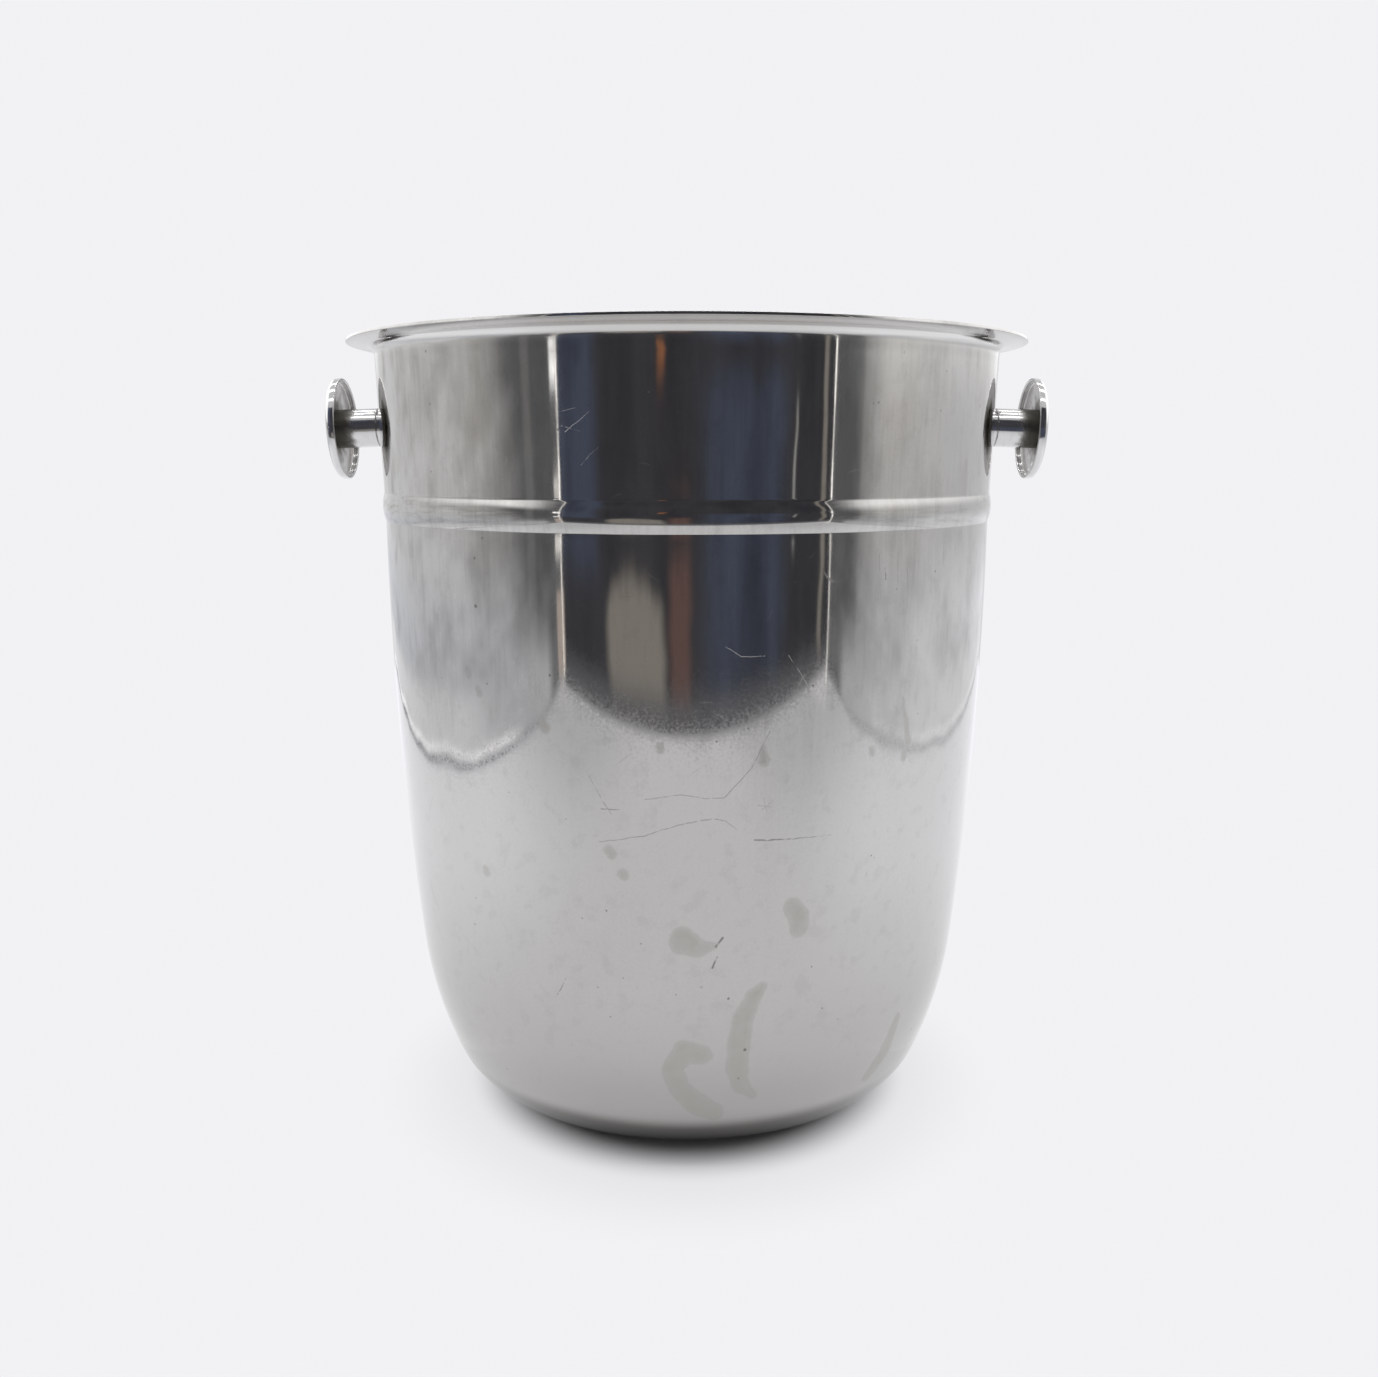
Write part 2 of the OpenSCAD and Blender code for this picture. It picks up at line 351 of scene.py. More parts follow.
def with_hem(flow, side, place, along, depth, above, cloth):
    """The cloth with a lit fold and a shaded line at its hem, and the table below."""
    wave = (noise(flow, place, HEM_WAVES, 1.0, seed=4.0) - 0.5) * HEM_WAVE[side]
    hem = above - wave - HEM_LINE[side] - along.step(0.0, HEM_REACH, HEM_RISE, 0.0)
    lit = band(hem, *LIT_UP) * along.step(*LIT_RUN)
    cloth = blend(flow, lit, cloth, HEM_LIGHT)
    fold = band(hem, *FOLD_UP) * along.step(*FOLD_RUN)
    cloth = blend(flow, fold * HEM_DEPTH[side], cloth, HEM_FOLD)
    cloth = blend(flow, band(hem, *SHADE_UP) * HEM_DEPTH[side], cloth, HEM_SHADE)
    return blend(flow, hem.step(*HEM_END), cloth, table_tone(flow, depth))


def wall_cloth(side, front):
    material, flow = new_material(side + "_wall_cloth")
    place = object_place(flow)
    _, depth, above = split(flow, place)
    along = depth - front
    cloth = hung_cloth(flow, side, place, along, depth, above)
    cloth = with_hem(flow, side, place, along, depth, above, cloth)
    top = above.step(TOP_START[side], TOP_END) * along.step(*TOP_RUN)
    glowing(flow, blend(flow, top, cloth, CLOTH_TOP))
    return material


print("cloth words ready")

# %% [markdown]
# Where each wall ends at the front, its edge stands in the steel as a thin bright line between the cloth and
# the dark room. A narrow panel across the end of the wall gives that line, with two brighter stretches.

# %% Stage: the side walls and their bright front edges
EDGE_HALF, EDGE_LOW = 0.006, 0.022
EDGE_HIGH_UP, EDGE_MIDDLE_UP = (0.195, 0.235, 0.008), (0.138, 0.156, 0.004)
EDGE_GAIN, EDGE_LEAST = 0.6, 0.4
EDGE_LIGHT, EDGE_GREY = (3.2, 3.1, 3.0), (0.5, 0.48, 0.46)
MID_HEIGHT = ROOF_HEIGHT / 2
WALL_UP = (0, 0, MID_HEIGHT)

edge_white, flow = new_material("edge_white")
_, _, above = split(flow, object_place(flow))
bright = band(above, *EDGE_HIGH_UP).at_least(band(above, *EDGE_MIDDLE_UP)) * EDGE_GAIN + EDGE_LEAST
glowing(flow, blend(flow, bright, EDGE_GREY, EDGE_LIGHT))
edge_middle, edge_up = (ROOF_HEIGHT + EDGE_LOW) / 2, (0, 0, (ROOF_HEIGHT - EDGE_LOW) / 2)
for side, (x, front) in SIDE_WALLS.items():
    half = (WALL_BACK - front) / 2
    cloth = wall_cloth(side, front)
    reflected_panel(side + "_wall", cloth, (x, front + half, MID_HEIGHT), (0, half, 0), WALL_UP)
    reflected_panel(side + "_wall_edge", edge_white, (x, front, edge_middle), (EDGE_HALF, 0, 0), edge_up)
print("wall edges from", EDGE_LOW, "up to", ROOF_HEIGHT)

# %% [markdown]
# Two clips and a pale post hold the left wall at its front. In the steel they are only short bright strokes
# along the border of the dark room, so a small glowing panel is enough for each.

# %% Stage: clips and a post at the front of the left wall
CLIPS = [
    ("high_clip", (2.4, 2.4, 2.4), -0.436, 0.013, 0.215, 0.011),
    ("low_clip", (1.5, 1.45, 1.4), -0.438, 0.012, 0.1365, 0.0085),
    ("post", (0.62, 0.53, 0.48), -0.446, 0.020, 0.061, 0.036),
]
CLIP_RAISE = 0.002

for name, light, y, half_y, z, half_z in CLIPS:
    shine, flow = new_material(name + "_shine")
    glowing(flow, light)
    x = SIDE_WALLS["left"][0] + CLIP_RAISE
    reflected_panel(name, shine, (x, y, z), (0, half_y, 0), (0, 0, half_z))
print("clips and post", len(CLIPS))

# %% [markdown]
# Behind the bucket hangs a pale cloth with a few soft folds. One grey gap in it gives the back of the bucket
# a dark stripe to show, because steel that reflects only white looks like paper.

# %% Stage: a pale cloth behind, with soft folds and a grey gap
BACK_LIGHT, BACK_FOLD, BACK_GAP = (0.84, 0.84, 0.86), (0.56, 0.56, 0.58), (0.22, 0.22, 0.24)
BACK_WAVES, BACK_STEP, BACK_SIDES = (5.0, 1.0, 1.2), (0.38, 0.62), (0.16, 0.34, 1.0, 0.15)
GAP_BEND, GAP_ACROSS, GAP_FOOT = 0.06, (-0.07, 0.19, 0.05), (0.02, 0.06)
BACK_MIDDLE, BACK_HALF = 0.014, 0.422

back_cloth, flow = new_material("back_cloth")
place = object_place(flow)
across, _, above = split(flow, place)
folds = noise(flow, place, BACK_WAVES, 3.0, seed=11.0)
cloth = blend(flow, folds.step(*BACK_STEP) * abs(across).step(*BACK_SIDES), BACK_LIGHT, BACK_FOLD)
gap = band(across + folds * GAP_BEND, *GAP_ACROSS) * above.step(*GAP_FOOT)
glowing(flow, blend(flow, gap, cloth, BACK_GAP))
reflected_panel("back_wall", back_cloth, (BACK_MIDDLE, WALL_BACK, MID_HEIGHT), (BACK_HALF, 0, 0), WALL_UP)
print("pale cloth at y", WALL_BACK)

# %% [markdown]
# The table is brighter to the left and the right, where more light reaches it, and the bucket's sides show
# that. Two thin panels just over the floor carry it, and only reflections see them, so the floor that
# the camera sees stays even.

# %% Stage: bright table to the left and the right
CARD_START, CARD_FULL, CARD_RAISE = 0.08, 0.28, 0.0006
ROOM_Y = -0.50
STAGE_MIDDLE, STAGE_HALF = (WALL_BACK + ROOM_Y) / 2, (WALL_BACK - ROOM_Y) / 2

table_glow, flow = new_material("table_glow")
across, depth, _ = split(flow, object_place(flow))
glowing(flow, blend(flow, abs(across).step(CARD_START, CARD_FULL), SURROUND, table_tone(flow, depth)))
for side, (x, _) in SIDE_WALLS.items():
    inner = math.copysign(CARD_START, x)
    centre = ((x + inner) / 2, STAGE_MIDDLE, CARD_RAISE)
    reflected_panel(side + "_table", table_glow, centre, (abs(x - inner) / 2, 0, 0), (0, STAGE_HALF, 0))
print("bright table from", CARD_START)

# %% [markdown]
# The room in front is dark, and it is the darkest thing on the bucket. A few soft bands of navy, umber and
# beige on charcoal are enough, with one small stroke each of amber and pale grey, because the round wall
# squeezes the whole room into one narrow strip. Noise bends the bands. A haze at the foot of the room meets
# a narrow strip at the table's front edge.

# %% Stage: tones and bands of the dark room
ROOM_HALF = 1.0
CHARCOAL, ROOM_SHADE = (0.068, 0.067, 0.076), (0.032, 0.032, 0.040)
NAVY = (0.092, 0.108, 0.160)
UMBER = (0.175, 0.110, 0.100)
BEIGE = (0.330, 0.305, 0.275)
AMBER = (0.420, 0.180, 0.090)
PALE = (0.450, 0.450, 0.440)
HAZE = (0.165, 0.166, 0.178)
SWAY, SWAY_WAVES = 0.07, (5.0, 1.0, 16.0)
LIFT, LIFT_WAVES = 0.05, (16.0, 1.0, 5.0)
# Painted shade: darker patches of the unlit room.
ROOM_SHADE_WAVES, ROOM_SHADE_STEP, ROOM_SHADE_SHARE = (9.0, 1.0, 4.0), (0.35, 0.65), 0.6
HAZE_UP, HAZE_SHARE = (0.012, 0.046, 1.0, 0.0), 0.9
LEFT_NAVY, LEFT_NAVY_UP = (-0.48, -0.28, 0.03), (0.08, 0.15)
RIGHT_NAVY, RIGHT_NAVY_UP = (0.06, 0.30, 0.05), (0.195, 0.22, 1.0, 0.0)
ARCH_MIDDLE, ARCH_BEND = -0.15, 3.5
ARCH_ACROSS, ARCH_UP = (-0.24, -0.06, 0.016), (0.006, 0.120, 0.016)
STROKES = [
    (UMBER, (-0.045, 0.010, 0.014), (0.010, 0.13, 0.02)),
    (AMBER, (-0.07, -0.05, 0.006), (0.21, 0.234, 0.006)),
    (PALE, (0.348, 0.358, 0.003), (0.13, 0.19, 0.004)),
]
RIGHT_BEIGE = (0.50, 0.525, 0.006)
print("strokes in the dark room", len(STROKES))

# %% Stage: the dark room in front, in a few soft bands
dark_room, flow = new_material("dark_room")
place = object_place(flow)
across, _, above = split(flow, place)
low = above.step(*HAZE_UP)
across = across + (noise(flow, place, SWAY_WAVES, 3.0, seed=5.0) - 0.5) * SWAY
above = above + (noise(flow, place, LIFT_WAVES, 3.0, seed=6.0) - 0.5) * LIFT
shade = noise(flow, place, ROOM_SHADE_WAVES, 3.0, seed=3.0).step(*ROOM_SHADE_STEP)
left_navy = band(across, *LEFT_NAVY) * above.step(*LEFT_NAVY_UP)
right_navy = band(across, *RIGHT_NAVY) * above.step(*RIGHT_NAVY_UP)
room = blend(flow, left_navy.at_least(right_navy), CHARCOAL, NAVY)
# Painted shade: deeper shade in patches of the dark room.
room = blend(flow, shade * ROOM_SHADE_SHARE, room, ROOM_SHADE)
aside = across - ARCH_MIDDLE
arch = aside * aside * ARCH_BEND + above
room = blend(flow, band(across, *ARCH_ACROSS) * band(arch, *ARCH_UP), room, BEIGE)
for tone, sideways, upward in STROKES:
    room = blend(flow, band(across, *sideways) * band(above, *upward), room, tone)
room = blend(flow, band(across, *RIGHT_BEIGE), room, BEIGE)
room = blend(flow, low * HAZE_SHARE, room, HAZE)
glowing(flow, room)
reflected_panel("dark_front", dark_room, (0, ROOM_Y, MID_HEIGHT), (ROOM_HALF, 0, 0), WALL_UP)
print("dark room at y", ROOM_Y)

# %% Stage: the table's front edge, which fades into the haze
STRIP_HALF_X, STRIP_HALF_Y, STRIP_RAISE = 0.6, 0.0125, 0.0008
STRIP_END, HAZE_START = ROOM_Y + 2 * STRIP_HALF_Y, ROOM_Y - 0.015

table_edge, flow = new_material("table_edge")
_, depth, _ = split(flow, object_place(flow))
glowing(flow, blend(flow, depth.step(HAZE_START, STRIP_END), HAZE, SURROUND))
centre = (0, ROOM_Y + STRIP_HALF_Y, STRIP_RAISE)
reflected_panel("table_edge", table_edge, centre, (STRIP_HALF_X, 0, 0), (0, STRIP_HALF_Y, 0))
print("table edge ends at y", STRIP_END)

# %% [markdown]
# Three long strip lamps hang under a grey roof. They are the only lamps: they light the floor, draw the
# bucket's soft shadow and put the small bright strokes on the knobs. The roof is grey, so that the brim's upper
# side doesn't turn plain white.

# %% Stage: a grey roof with strip lamps under it
ROOF_GREY = (0.72, 0.72, 0.73)
LAMP_LENGTH, LAMP_WIDTH, LAMP_DROP = 0.8, 0.035, 0.01
LAMP_POWER = 0.75
LAMP_PLACES = (-0.22, 0.05, 0.32)
ROOF_HALF = 0.45

roof_grey, flow = new_material("roof_grey")
glowing(flow, ROOF_GREY)
reflected_panel("roof", roof_grey, (0, STAGE_MIDDLE, ROOF_HEIGHT), (ROOF_HALF, 0, 0), (0, STAGE_HALF, 0))
for index, y in enumerate(LAMP_PLACES):
    strip = bpy.data.lights.new("strip_" + str(index), "AREA")
    strip.shape = "RECTANGLE"
    strip.size = LAMP_LENGTH
    strip.size_y = LAMP_WIDTH
    strip.energy = LAMP_POWER
    lamp = bpy.data.objects.new(strip.name, strip)
    lamp.location = (0.0, y, ROOF_HEIGHT - LAMP_DROP)
    bpy.context.scene.collection.objects.link(lamp)
print("strip lamps", len(LAMP_PLACES), "of", LAMP_POWER, "W")

# %% [markdown]
# Years of use are written on the wall: films of dried water with soft, darker borders, a few long
# scratches and a scatter of pits. Each mark has its own place, so it can't come from noise alone. The wall
# is unrolled: one number runs round it and one up it, both in millimetres. A mark is a path of
# straight lines with a half width at each point, and the shader measures how far each spot is from it.
# Noise then bends the borders, so that no mark looks ruled.

# %% Marks of use, as paths of (round, up, half width) on the unrolled wall
UNROLL_R = 90.5
WOBBLE_WAVES = 260.0
WATER_FILMS = [
    [(-0.8, 69.2, 3.9), (3.0, 67.5, 2.4), (7.1, 67.7, 0.9)],
    [(29.2, 77.1, 2.4), (31.3, 74.2, 3.0), (31.3, 71.1, 2.6)],
    [(21.6, 55.1, 1.3), (19.0, 52.7, 2.2), (16.1, 46.4, 2.7), (15.2, 38.6, 3.2), (15.0, 31.6, 3.1),
     (16.6, 25.3, 2.2), (21.2, 21.6, 1.1)],
    [(4.9, 35.9, 2.5), (-0.6, 37.2, 3.4), (-4.3, 31.6, 2.9), (-2.4, 25.4, 3.1), (2.8, 19.6, 3.7),
     (9.0, 16.7, 2.7)],
    [(74.4, 34.5, 1.6), (72.5, 24.0, 3.2), (67.2, 18.1, 2.4)],
    [(19.8, 120.3, 0.7), (19.9, 117.5, 1.5)],
    [(-58.9, 132.5, 1.0), (-58.6, 132.0, 1.1)],
    [(-62.4, 136.9, 0.9), (-62.2, 136.5, 0.9)],
    [(-60.8, 82.7, 1.1), (-60.6, 82.0, 1.2)],
    [(-6.7, 121.0, 0.9), (-6.6, 120.4, 0.9)],
    [(-20.6, 93.6, 1.4), (-20.0, 92.6, 1.3)],
    [(-17.2, 87.5, 1.2), (-16.7, 86.5, 1.0)],
    [(-37.9, 125.7, 1.0), (-37.2, 124.6, 1.3)],
    [(62.0, 130.0, 0.2), (63.8, 123.3, 0.7), (65.1, 118.3, 1.2)],
    [(63.8, 114.8, 0.5), (63.9, 113.6, 0.9)],
    [(51.6, 117.6, 0.7), (51.8, 116.8, 0.8)],
]
DARK_SCRATCHES = [
    [(17.9, 96.4, 0.22), (24.8, 96.1, 0.20), (39.8, 95.8, 0.05)],
    [(-23.4, 95.7, 0.08), (-11.3, 97.7, 0.12), (-6.9, 99.4, 0.10), (0.1, 101.5, 0.12),
     (6.3, 102.5, 0.12), (10.2, 101.9, 0.10), (13.0, 99.5, 0.06)],
    [(-10.7, 107.7, 0.08), (-1.4, 108.9, 0.10), (5.5, 107.8, 0.08), (9.7, 108.0, 0.10),
     (16.6, 115.3, 0.10), (21.2, 124.8, 0.06)],
    [(-22.3, 104.5, 0.16), (-17.5, 104.5, 0.10)],
    [(-38.2, 51.0, 0.20), (-35.2, 55.9, 0.10)],
    [(9.8, 70.0, 0.34), (8.0, 67.5, 0.30)],
    [(8.4, 64.5, 0.22), (7.1, 61.7, 0.32)],
    [(18.5, 105.6, 0.04), (22.5, 105.0, 0.04)],
    [(20.0, 107.5, 0.04), (21.0, 103.5, 0.03)],
    [(22.4, 106.8, 0.03), (19.3, 104.0, 0.04)],
    [(-21.8, 106.4, 0.10), (-19.6, 103.2, 0.06)],
    [(-25.4, 113.0, 0.05), (-22.4, 107.6, 0.08)],
    [(52.6, 83.4, 0.10), (52.0, 81.4, 0.06)],
    [(53.5, 164.6, 0.10), (53.8, 161.8, 0.22)],
    [(51.4, 168.2, 0.04), (51.6, 164.1, 0.08)],
    [(57.8, 168.4, 0.05), (58.1, 158.2, 0.03)],
    [(61.3, 164.2, 0.05), (62.2, 153.8, 0.04)],
    [(77.0, 170.1, 0.06), (77.4, 163.8, 0.04)],
    [(65.2, 146.2, 0.04), (66.1, 144.8, 0.06), (66.9, 145.0, 0.05)],
    [(-74.2, 217.1, 0.06), (-74.4, 215.4, 0.08)],
]
DARK_DOTS = [
    (11.8, 52.5, 0.42), (17.2, 37.0, 0.50), (15.8, 27.8, 0.30), (-12.5, 68.3, 0.22), (36.3, 59.4, 0.26),
    (40.8, 46.2, 0.24), (-21.8, 76.8, 0.30), (-17.8, 58.1, 0.22), (-3.0, 54.0, 0.22), (-22.1, 46.4, 0.24),
    (-73.2, 218.9, 0.34), (-72.8, 205.7, 0.34), (-74.3, 188.6, 0.28), (-58.1, 167.0, 0.40),
    (-58.3, 154.6, 0.50), (-55.2, 172.1, 0.34), (-55.5, 134.6, 0.30), (-35.4, 138.4, 0.34),
    (49.1, 205.4, 0.30), (47.6, 205.2, 0.24), (94.5, 205.7, 0.34),
]
BRIGHT_SCRATCHES = [
    [(9.6, 146.5, 0.08), (13.5, 144.0, 0.10), (19.6, 143.9, 0.08)],
    [(25.7, 144.0, 0.06), (31.5, 135.4, 0.06)],
    [(-29.5, 198.2, 0.10), (-25.6, 201.0, 0.12), (-22.5, 203.8, 0.06)],
    [(-25.6, 190.4, 0.08), (-23.3, 192.8, 0.08), (-21.2, 194.6, 0.05)],
    [(-29.9, 203.1, 0.08), (-26.8, 203.8, 0.08)],
    [(-30.3, 199.6, 0.08), (-25.7, 198.4, 0.06)],
]
print("marks", len(WATER_FILMS), len(DARK_SCRATCHES), len(DARK_DOTS), len(BRIGHT_SCRATCHES))


# %% How far a spot is from a mark
def line_gap(flow, spot, start, end):
    """How far a spot on the unrolled wall is from the border of a straight line."""
    line = Vector((end[0] - start[0], end[1] - start[1], 0.0))
    offset = vector_math(flow, "SUBTRACT", spot, (start[0], start[1], 0.0))
    share = vector_number(flow, "DOT_PRODUCT", offset, line / line.length_squared)
    share = flow.make("ShaderNodeClamp", None, {0: share})
    nearest = flow.make("ShaderNodeVectorMath", {"operation": "SCALE"}, {0: line, 3: share})
    return vector_number(flow, "DISTANCE", offset, nearest) - (share * (end[2] - start[2]) + start[2])


def nearest_mark(flow, spot, paths):
    gap = None
    for path in paths:
        for start, end in zip(path, path[1:]):
            new = line_gap(flow, spot, start, end)
            gap = new if gap is None else gap.at_most(new)
    return gap


def nearest_dot(flow, spot, dots):
    gap = None
    for round_mm, up_mm, half in dots:
        new = vector_number(flow, "DISTANCE", spot, (round_mm, up_mm, 0.0)) - half
        gap = new if gap is None else gap.at_most(new)
    return gap


def unrolled(flow, place, wobble):
    """The spot on the unrolled wall, in millimetres, pushed about by noise."""
    x, y, z = split(flow, place)
    around = flow.math("ARCTAN2", x, y * -1.0) * UNROLL_R
    spot = flow.make("ShaderNodeCombineXYZ", None, {0: around, 1: z * 1000.0})
    sockets = {"Vector": place, "Scale": WOBBLE_WAVES, "Detail": 3.0}
    push = flow.make("ShaderNodeTexNoise", None, sockets, out="Color")
    push = vector_math(flow, "SUBTRACT", push, (0.5, 0.5, 0.5))
    return vector_math(flow, "ADD", spot, vector_math(flow, "MULTIPLY", push, (wobble, wobble, 0.0)))


print("unrolled wall", round(math.tau * UNROLL_R), "mm round")

# %% [markdown]
# The steel is stainless sheet, polished on a lathe. The wheel leaves fine rings round the bucket, which
# smear each reflection up and down. Blender calls this anisotropy, and its direction runs round Z unless
# told otherwise, which is what a turned piece needs. Faint upright streaks, clouds, a fine grain, pits and
# hair scratches change the colour and the roughness a little. This general wear is one function, because
# the inside and the knobs are of the same steel.

# %% General wear of polished steel
STREAK_WAVES, CLOUD_WAVES, RUN_WAVES = (900.0, 900.0, 80.0), (38.0, 38.0, 24.0), (150.0, 150.0, 48.0)
BLOT_WAVES, GRAIN_WAVES, GRAIN_FADE = 210.0, 1500.0, (0.130, 0.165, 0.16, 0.0)
UPPER_WALL = (0.10, 0.15)
LONG_HAIRS, SHORT_HAIRS = (55.0, 4.0, 0.006), (90.0, 9.0, 0.007)
LARGE_PITS, SMALL_PITS, SMALL_PIT_SHARE = (120.0, 0.022, 0.22), (260.0, 0.05, 0.10), 0.5
PIT_DARK = (0.20, 0.19, 0.18)
RING_TURN = 0.25


def even(waves):
    """The same count of waves along x, y and z."""
    return (waves, waves, waves)


def hair_scratches(flow, place, waves, seed, width):
    """Thin curved lines: the level lines of a soft noise, kept only here and there."""
    level = abs(noise(flow, place, even(waves), 0.0, seed) - 0.5)
    here = noise(flow, place, even(2.1 * waves), 1.0, seed + 3.7)
    return level.step(0.0, width, 1.0, 0.0) * here.step(0.58, 0.70)


def pits(flow, place, waves, size, kept):
    """Small round pits in a share of the cells of a Voronoi pattern."""
    cells = flow.make("ShaderNodeTexVoronoi", None, {"Vector": place, "Scale": waves})
    tint = Flow(flow.tree, cells.socket.node.outputs[1])
    chance, _, _ = split(flow, tint)
    return cells.step(size, 2.0 * size, 1.0, 0.0) * chance.step(1.0 - kept, 1.02 - kept)


def worn_steel(flow, place, tones, rough, hair=0.10):
    """Colour and roughness of polished steel with a general, even wear."""
    _, _, above = split(flow, place)
    upper = above.step(*UPPER_WALL)
    streaks = noise(flow, place, STREAK_WAVES, 3.0) - 0.5
    clouds = noise(flow, place, CLOUD_WAVES, 5.0, seed=1.0)
    runs = noise(flow, place, RUN_WAVES, 4.0, seed=14.0)
    blots = noise(flow, place, even(BLOT_WAVES), 5.0, seed=2.0)
    grain = noise(flow, place, even(GRAIN_WAVES), 1.0, seed=15.0) - 0.5
    hairs = hair_scratches(flow, place, *LONG_HAIRS)
    hairs = hairs.at_least(hair_scratches(flow, place, *SHORT_HAIRS))
    specks = pits(flow, place, *LARGE_PITS).at_least(pits(flow, place, *SMALL_PITS) * SMALL_PIT_SHARE)
    smudge = clouds.step(0.46, 0.66) * 0.6 + runs.step(0.50, 0.66) * 0.4 + streaks * 1.1
    dull = smudge * (upper * 0.85 + 0.15) + blots.step(0.52, 0.68) * 0.25 + grain * 0.4
    colour = blend(flow, dull, *tones)
    colour = blend(flow, specks * 0.8, colour, PIT_DARK)
    roughness = streaks * (upper * 0.05 + 0.01) + (clouds - 0.5) * 0.06 + (blots - 0.5) * 0.04
    roughness = roughness + grain * above.step(*GRAIN_FADE)
    roughness = roughness + rough + hairs * hair + specks * 0.25
    return colour, roughness


def bumps(flow, height, strength, distance):
    return flow.make("ShaderNodeBump", None, {"Strength": strength, "Distance": distance, "Height": height})


def metal(flow, colour, roughness, bump, smear):
    shader = flow.make("ShaderNodeBsdfPrincipled", None, {
        "Base Color": colour, "Metallic": 1.0, "Roughness": roughness,
        "Anisotropic": smear, "Anisotropic Rotation": RING_TURN, "Normal": bump})
    flow.make("ShaderNodeOutputMaterial", None, {"Surface": shader})


print("steel words ready")

# %% [markdown]
# The outside of the shell adds what this bucket has seen. The polish is finest on the upper wall and duller
# on the belly, where hands and cloths rub. The underside of the brim is satin, and its paler tone is painted
# light. The foot is coloured darker towards the bottom, most of all at the front and the back, and a dark band
# of painted shade at its very bottom stands for the reflection of the floor's shadow. The marks come last.
# Films change the colour most, and scratches the roughness as well, so that they catch the light.

# %% Polished steel for the shell
SHELL_TONES = (0.525, 0.516, 0.502), (0.415, 0.405, 0.390)
# The paler tone under the brim is painted light, for the brighter reflection there.
BRIM_LIT_TONE = (0.635, 0.625, 0.610)
FOOT_DARKER, FOOT_SHADE = (0.430, 0.421, 0.408), (0.205, 0.200, 0.190)
BRIM_START, BRIM_END, BRIM_SATIN = (0.2190, 0.2222), (0.2238, 0.2242, 1.0, 0.0), 0.08
POLISH = (0.060, 0.130, 0.085, 0.070)
DARKER_UP, FOOT_SHADE_UP = (0.016, 0.060, 0.90, 0.0), (0.0095, 0.0145, 1.0, 0.0)
FOOT_SIDES = (0.02, 0.06, 1.0, 0.45)

shell_steel, flow = new_material("shell_steel")
place = object_place(flow)
across, _, above = split(flow, place)
brim = above.step(*BRIM_START) * above.step(*BRIM_END)
polish = above.step(*POLISH) + brim * BRIM_SATIN
colour, roughness = worn_steel(flow, place, SHELL_TONES, polish)
# Painted light: the underside of the brim is made paler.
colour = blend(flow, brim, colour, BRIM_LIT_TONE)
sides = abs(across).step(*FOOT_SIDES)
# The foot is coloured darker towards the bottom, most of all at the front and the back.
colour = blend(flow, above.step(*DARKER_UP) * sides, colour, FOOT_DARKER)
# Painted shade: a dark band at the very bottom, for the reflection of the floor's shadow at the contact.
colour = blend(flow, above.step(*FOOT_SHADE_UP) * sides, colour, FOOT_SHADE)
print("shell steel before its marks", len(shell_steel.node_tree.nodes), "nodes")

# %% The shell's marks of use
FILM, FILM_BORDER = (0.388, 0.376, 0.346), (0.325, 0.316, 0.288)
SCRATCH_DARK, SCRATCH_BRIGHT = (0.16, 0.155, 0.15), (0.85, 0.84, 0.83)
FILM_WOBBLE, SCRATCH_WOBBLE = 1.8, 0.8
FILM_FADE, FILM_RIM = (-1.5, 0.8, 1.0, 0.0), (-0.6, 0.3, 0.5)
DARK_FADE, BRIGHT_FADE = (-0.25, 0.15, 1.0, 0.0), (-0.22, 0.10, 1.0, 0.0)
BREAK_WAVES, BREAK_STEP = 600.0, (0.34, 0.52)
LEAST_ROUGH, DENT_WAVES = 0.03, 14.0
RING_SMEAR = 0.75

film_gap = nearest_mark(flow, unrolled(flow, place, FILM_WOBBLE), WATER_FILMS)
film = film_gap.step(*FILM_FADE)
border = band(film_gap, *FILM_RIM)
spot = unrolled(flow, place, SCRATCH_WOBBLE)
breaks = noise(flow, place, even(BREAK_WAVES), 2.0, seed=7.0).step(*BREAK_STEP)
dark = nearest_mark(flow, spot, DARK_SCRATCHES).step(*DARK_FADE) * breaks
dark = dark.at_least(nearest_dot(flow, spot, DARK_DOTS).step(*DARK_FADE))
bright = nearest_mark(flow, spot, BRIGHT_SCRATCHES).step(*BRIGHT_FADE) * breaks
soft = noise(flow, place, even(WOBBLE_WAVES), 3.0)
colour = blend(flow, film * (soft * 0.7 + 0.35), colour, FILM)
colour = blend(flow, border * 0.22, colour, FILM_BORDER)
colour = blend(flow, dark * 0.8, colour, SCRATCH_DARK)
colour = blend(flow, bright * 0.9, colour, SCRATCH_BRIGHT)
roughness = (roughness + film * 0.08 + dark * 0.15 + bright * 0.5).at_least(LEAST_ROUGH)
dents = noise(flow, place, even(DENT_WAVES), 1.0, seed=6.0)
metal(flow, colour, roughness, bumps(flow, dents, 0.02, 0.001), RING_SMEAR)
print("shell steel", len(shell_steel.node_tree.nodes), "nodes")

# %% [markdown]
# The inside is seen only from above. A drawing press leaves it satin, so it has the same steel with a
# duller polish, fine rings and fainter hair scratches. Its paler tones are painted light for the deep inside.

# %% Satin steel for the inside
# The inside's paler tones are painted light, which brightens the deep inside.
INSIDE_LIT_TONES = (0.700, 0.690, 0.675), (0.620, 0.610, 0.590)
INSIDE_ROUGH, INSIDE_HAIR = 0.24, 0.03
RING_WAVES = (4.0, 4.0, 900.0)

